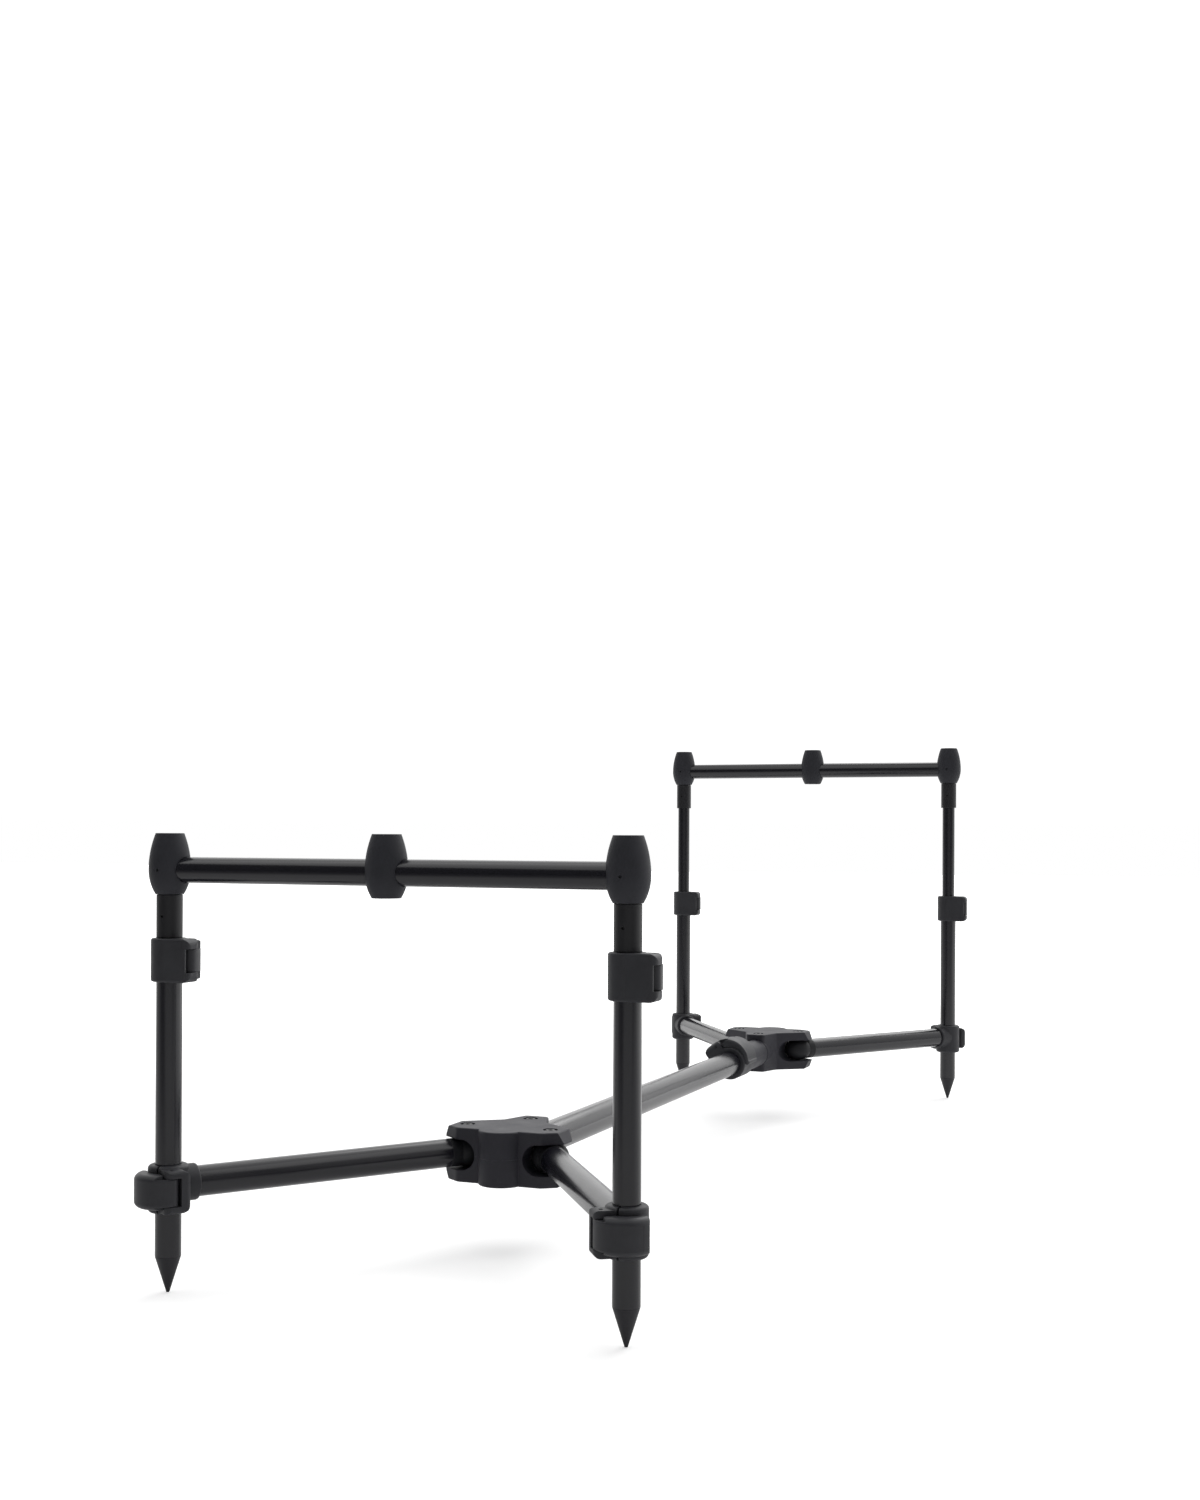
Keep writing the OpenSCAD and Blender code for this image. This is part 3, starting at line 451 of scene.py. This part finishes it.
def threaded_inserts(name, node, thread):
    """The inserts of one bar, whose thread is cut outwards from the bore."""
    around, rows_per_turn = 48, 8
    sharp_angle = math.radians(40)
    low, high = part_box(node)
    height, centre_y = high.z - low.z, (low.y + high.y) / 2
    radius = (high.y - low.y) / 2
    mount = next(m for m in frame["record"]["mounts"] if m["kind"] == "threaded_hole")
    bore = mount["dims"]["r_mm"] / 1000
    rows = round(height / thread.pitch * rows_per_turn)
    rings = []
    for row in range(rows + 1):
        z = low.z + height * row / rows
        ring = []
        for i in range(around):
            phase = ((z - low.z) / thread.pitch - i / around) % 1.0
            groove = thread.depth * (1 - abs(2 * phase - 1))
            ring.append(bore + max(groove, thread.mouth - (high.z - z)))
        rings.append((z, ring))
    rim = thread.mouth / 2
    for z, r in ((high.z, radius - rim), (high.z - rim, radius), (low.z, radius)):
        rings.append((z, [r] * around))
    verts, faces = [], []
    for x in (low.x + radius, (low.x + high.x) / 2, high.x - radius):
        first = len(verts)
        for z, ring in rings:
            for i, r in enumerate(ring):
                turn = math.tau * i / around
                verts.append((x + r * math.cos(turn), centre_y + r * math.sin(turn), z))
        for row in range(len(rings)):
            start = first + row * around
            after = first + (row + 1) % len(rings) * around
            for i in range(around):
                j = (i + 1) % around
                faces.append((start + j, start + i, after + i, after + j))
    mesh = bpy.data.meshes.new(name)
    mesh.from_pydata(verts, [], faces)
    mesh.shade_smooth()
    mesh.set_sharp_from_angle(angle=sharp_angle)
    return in_scene(name, mesh)


# Pieces

class TubesOperator(Operator):
    """Satin black anodising on every tube, with the drawn lines along it"""

    bl_idname = "rodpod.tubes"
    bl_label = "Tubes"

    def execute(self, context):
        dress(("keel_outer_tube", "keel_inner_tube"), tube_material("keel anodising", (0, 1, 0)))
        dress([f"{end}_bar_tube" for end in ENDS], tube_material("bar anodising", (1, 0, 0)))
        upright = [f"{corner}_{piece}" for corner in CORNERS for piece in ("leg_tube", "inner_tube")]
        dress(upright, tube_material("leg anodising", (0, 0, 1)))
        for corner in CORNERS:
            low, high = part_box(f"{corner}_arm_tube")
            lean = 1 if corner in ("front_left", "rear_right") else -1
            along = (high.x - low.x, lean * (high.y - low.y), 0)
            dress([f"{corner}_arm_tube"], tube_material(f"{corner} arm anodising", along))
        return {"FINISHED"}


class ClampsOperator(Operator):
    """Grained black plastic on the clamps, their levers and the arm plugs, the plugs darkened as
    painted shade inside the hubs' slots
    """

    bl_idname = "rodpod.clamps"
    bl_label = "Clamps and levers"

    def execute(self, context):
        # The plugs are darkened to half: painted shade for the shadow inside the hubs' slots.
        lever_tone, plug_slot_shade = 1.04, 0.5
        black = tuple(context.scene.pod_finish.moulding)
        at = ["keel", *(f"{corner}_{piece}" for corner in CORNERS for piece in ("arm", "leg"))]
        clamp = moulded_material("clamp moulding", black, CLAMP_SURFACE)
        lever = moulded_material("lever moulding", scaled(black, lever_tone), LEVER_SURFACE)
        # Plug colour at half the moulding's black: painted slot shade.
        plug = moulded_material("plug moulding with painted slot shade", scaled(black, plug_slot_shade), PLUG_SURFACE)
        dress([f"{place}_clamp" for place in at], clamp)
        dress([f"{place}_lever" for place in at], lever)
        dress([f"{corner}_arm_plug" for corner in CORNERS], plug)
        return {"FINISHED"}


class HubsOperator(Operator):
    """Hub halves of grained black plastic with rounded rims, and black oxide on their bolts"""

    bl_idname = "rodpod.hubs"
    bl_label = "Hubs"

    def execute(self, context):
        finish = context.scene.pod_finish
        moulding = moulded_material("hub moulding", tuple(finish.hub), HUB_SURFACE)
        for end, body in HUB_BODIES.items():
            for half in ("upper", "lower"):
                node = f"{end}_hub_{half}"
                low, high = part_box(node)
                face = high.z if half == "upper" else low.z
                piece = rounded_half(f"{node}_half", node, face, finish.hub_rim)
                piece.data.materials.append(moulding)
                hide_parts(node)
                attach(piece, body)
        oxide = steel_material("bolt oxide", tuple(finish.bolt), BOLT_ROUGHNESS)
        dress([f"{end}_hub_bolts" for end in ENDS], oxide)
        return {"FINISHED"}


class BeadsOperator(Operator):
    """Soft matte black on the beads"""

    bl_idname = "rodpod.beads"
    bl_label = "Beads"

    def execute(self, context):
        colour = tuple(context.scene.pod_finish.bead)
        beads = [f"{end}_{place}_bead" for end in ENDS for place in ("left", "centre", "right")]
        dress(beads, moulded_material("bead moulding", colour, BEAD_SURFACE))
        return {"FINISHED"}


class SpikesOperator(Operator):
    """Matte black on the spikes and sleeves"""

    bl_idname = "rodpod.spikes"
    bl_label = "Spikes and sleeves"

    def execute(self, context):
        finish = context.scene.pod_finish
        for piece, colour in (("spike", tuple(finish.spike)), ("sleeve", tuple(finish.sleeve))):
            anodising = moulded_material(f"{piece} anodising", colour, SPIKE_SURFACE)
            dress([f"{corner}_{piece}" for corner in CORNERS], anodising)
        return {"FINISHED"}


class InsertsOperator(Operator):
    """Steel inserts with their thread cut, in the tops of the beads"""

    bl_idname = "rodpod.inserts"
    bl_label = "Threaded inserts"

    def execute(self, context):
        thread = context.scene.pod_thread
        colour = tuple(context.scene.pod_finish.insert)
        steel = steel_material("insert steel", colour, INSERT_ROUGHNESS)
        for end in ENDS:
            piece = threaded_inserts(f"{end}_threaded_inserts", f"{end}_bar_inserts", thread)
            piece.data.materials.append(steel)
            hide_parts(f"{end}_bar_inserts")
            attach(piece, f"{end}_left_upper")
        return {"FINISHED"}


# Studio

def lay_floor(colour):
    """A wide white floor that keeps a faint shadow; in reflections its front shows a painted dim
    colour with a painted lit strip, and its back glows as a painted reflection of a bright room.
    """
    reach = 14.0
    front_y, back_y = -0.7, 0.3
    shadow_radius, white_radius = 0.7, 2.0
    shadow_white, back_shine = 0.25, 0.7
    mesh = bpy.data.meshes.new("floor")
    corners = [(-reach, -reach, 0), (reach, -reach, 0), (reach, reach, 0), (-reach, reach, 0)]
    mesh.from_pydata(corners, [], [(0, 1, 2, 3)])
    floor = in_scene("floor", mesh)
    material, tree, shader = new_material("floor")
    where = object_place(tree)
    depth = add(tree, "ShaderNodeSeparateXYZ", {"Vector": where}).outputs["Y"]
    path = add(tree, "ShaderNodeLightPath").outputs
    back = between(tree, depth, front_y, back_y)

    cloud = noise(tree, where, 1.5, 2.0, 0.5)
    pale = mixed(tree, cloud, scaled(colour, 0.99), scaled(colour, 1.01))
    front = maths(tree, "SUBTRACT", 1.0, back)
    dimmed = maths(tree, "MULTIPLY", path["Is Glossy Ray"], front)
    # In reflections the floor's front takes painted shade, with a painted lit strip.
    dim = front_sweep(tree, colour, where, depth)
    feed(tree, shader["Base Color"], mixed(tree, dimmed, pale, dim))
    feed(tree, shader["Roughness"], 0.9)
    feed(tree, shader["Specular IOR Level"], 0.0)

    away = vectors(tree, "LENGTH", where)
    white = between(tree, away, shadow_radius, white_radius, shadow_white, 1.0)
    # In reflections the floor's back glows: a painted reflection of a bright room.
    shine = maths(tree, "MULTIPLY", back, back_shine)
    mirrored = maths(tree, "MULTIPLY", path["Is Glossy Ray"], shine)
    seen = maths(tree, "MAXIMUM", path["Is Camera Ray"], mirrored)
    feed(tree, shader["Emission Strength"], maths(tree, "MULTIPLY", seen, white))
    feed(tree, shader["Emission Color"], WHITE)
    mesh.materials.append(material)


def front_sweep(tree, colour, where, depth):
    """Painted light and shade on the floor's colour in front, seen only in reflections: a painted lit
    strip between two painted dark ones.
    """
    dark, lit = 0.2, 0.76
    front_post = (0.0, -0.6, 0.0)
    strip_way = (0.48, -0.88, 0.0)
    strip_edge, strip_core = 0.72, 0.9
    side_edge, side_core = 0.35, 0.0
    far_y, near_y = -1.7, -1.1
    ahead = vectors(tree, "SUBTRACT", where, front_post)
    heading = vectors(tree, "NORMALIZE", ahead)
    square = vectors(tree, "DOT_PRODUCT", heading, strip_way)
    strip = between(tree, square, strip_edge, strip_core)
    sides = between(tree, square, side_edge, side_core)
    near = between(tree, depth, far_y, near_y)
    light = maths(tree, "MAXIMUM", maths(tree, "MAXIMUM", strip, sides), near)
    return mixed(tree, light, scaled(colour, dark), scaled(colour, lit))


def light_world(scene, front_light, window_light, back_light):
    """White to the eye, and as a light white at the back and dim on the camera's side."""
    window_way = (0.34, -0.94, 0.0)
    window_edge, window_core = 0.8, 0.97
    front_y, back_y = -0.4, 0.5
    low_z, high_z, low_glow = -0.05, 0.2, 0.6
    world = bpy.data.worlds.new("studio")
    world.use_nodes = True
    scene.world = world
    tree = world.node_tree
    facing = add(tree, "ShaderNodeTexCoord").outputs["Generated"]
    along = add(tree, "ShaderNodeSeparateXYZ", {"Vector": facing}).outputs
    low = between(tree, along["Z"], low_z, high_z, low_glow, 1.0)
    room = between(tree, along["Y"], front_y, back_y, front_light, back_light)
    square = vectors(tree, "DOT_PRODUCT", facing, window_way)
    window = between(tree, square, window_edge, window_core, 0.0, window_light)
    glow = maths(tree, "MULTIPLY", low, maths(tree, "ADD", room, window))
    path = add(tree, "ShaderNodeLightPath").outputs
    seen = maths(tree, "MAXIMUM", path["Is Camera Ray"], path["Is Transmission Ray"])
    back = between(tree, along["Y"], front_y, back_y)
    mirrored = maths(tree, "MULTIPLY", path["Is Glossy Ray"], back)
    strength = maths(tree, "MAXIMUM", glow, maths(tree, "MAXIMUM", seen, mirrored))
    background = tree.nodes["Background"].inputs
    feed(tree, background["Color"], WHITE)
    feed(tree, background["Strength"], strength)


def soft_lamp(name, place, width, power):
    """A square soft box that faces the pod."""
    data = bpy.data.lights.new(name, "AREA")
    data.size = width
    data.energy = power
    lamp = in_scene(name, data)
    lamp.location = place
    towards = Vector(LAMP_TARGET) - Vector(place)
    lamp.rotation_euler = towards.to_track_quat("-Z", "Y").to_euler()


def place_camera(scene, stage):
    """The camera, at the eye and with its turns."""
    camera = in_scene("camera", bpy.data.cameras.new("camera"))
    camera.data.lens = stage.lens
    camera.data.shift_x = stage.shift_x
    camera.data.shift_y = stage.shift_y
    camera.matrix_world = (
        Matrix.Translation(stage.eye)
        @ Matrix.Rotation(stage.yaw, 4, "Z")
        @ Matrix.Rotation(math.pi / 2 + stage.pitch, 4, "X")
        @ Matrix.Rotation(stage.roll, 4, "Z")
    )
    scene.camera = camera


class StageOperator(Operator):
    """White studio, soft lamps and the camera"""

    bl_idname = "rodpod.stage"
    bl_label = "Studio"

    def execute(self, context):
        scene = context.scene
        stage = scene.pod_stage
        scene.view_settings.view_transform = "Standard"
        lay_floor(tuple(stage.floor))
        light_world(scene, stage.front_light, stage.window_light, stage.back_light)
        for name, lamp in LAMPS.items():
            soft_lamp(name, *lamp)
        place_camera(scene, stage)
        return {"FINISHED"}


# Panel and registration

class RodPodPanel(Panel):
    """Sizes, colours and steps of the rod pod"""

    bl_idname = "VIEW3D_PT_rodpod"
    bl_label = "Rod Pod"
    bl_space_type = "VIEW_3D"
    bl_region_type = "UI"
    bl_category = "Rod Pod"

    def draw(self, context):
        scene = context.scene
        for step in STEPS:
            self.layout.operator(step.bl_idname)
        for settings in (scene.pod_finish, scene.pod_thread, scene.pod_stage):
            box = self.layout.box()
            for name in settings.__annotations__:
                box.prop(settings, name)


STEPS = (
    TubesOperator, ClampsOperator, HubsOperator, BeadsOperator,
    SpikesOperator, InsertsOperator, StageOperator,
)
CLASSES = (FinishSettings, ThreadSettings, StageSettings, *STEPS, RodPodPanel)


def register():
    for item in CLASSES:
        bpy.utils.register_class(item)
    bpy.types.Scene.pod_finish = PointerProperty(type=FinishSettings)
    bpy.types.Scene.pod_thread = PointerProperty(type=ThreadSettings)
    bpy.types.Scene.pod_stage = PointerProperty(type=StageSettings)


def unregister():
    del bpy.types.Scene.pod_stage
    del bpy.types.Scene.pod_thread
    del bpy.types.Scene.pod_finish
    for item in reversed(CLASSES):
        bpy.utils.unregister_class(item)


def main():
    register()
    bpy.ops.rodpod.tubes()
    bpy.ops.rodpod.clamps()
    bpy.ops.rodpod.hubs()
    bpy.ops.rodpod.beads()
    bpy.ops.rodpod.spikes()
    bpy.ops.rodpod.inserts()
    bpy.ops.rodpod.stage()


if __name__ == "__main__":
    main()
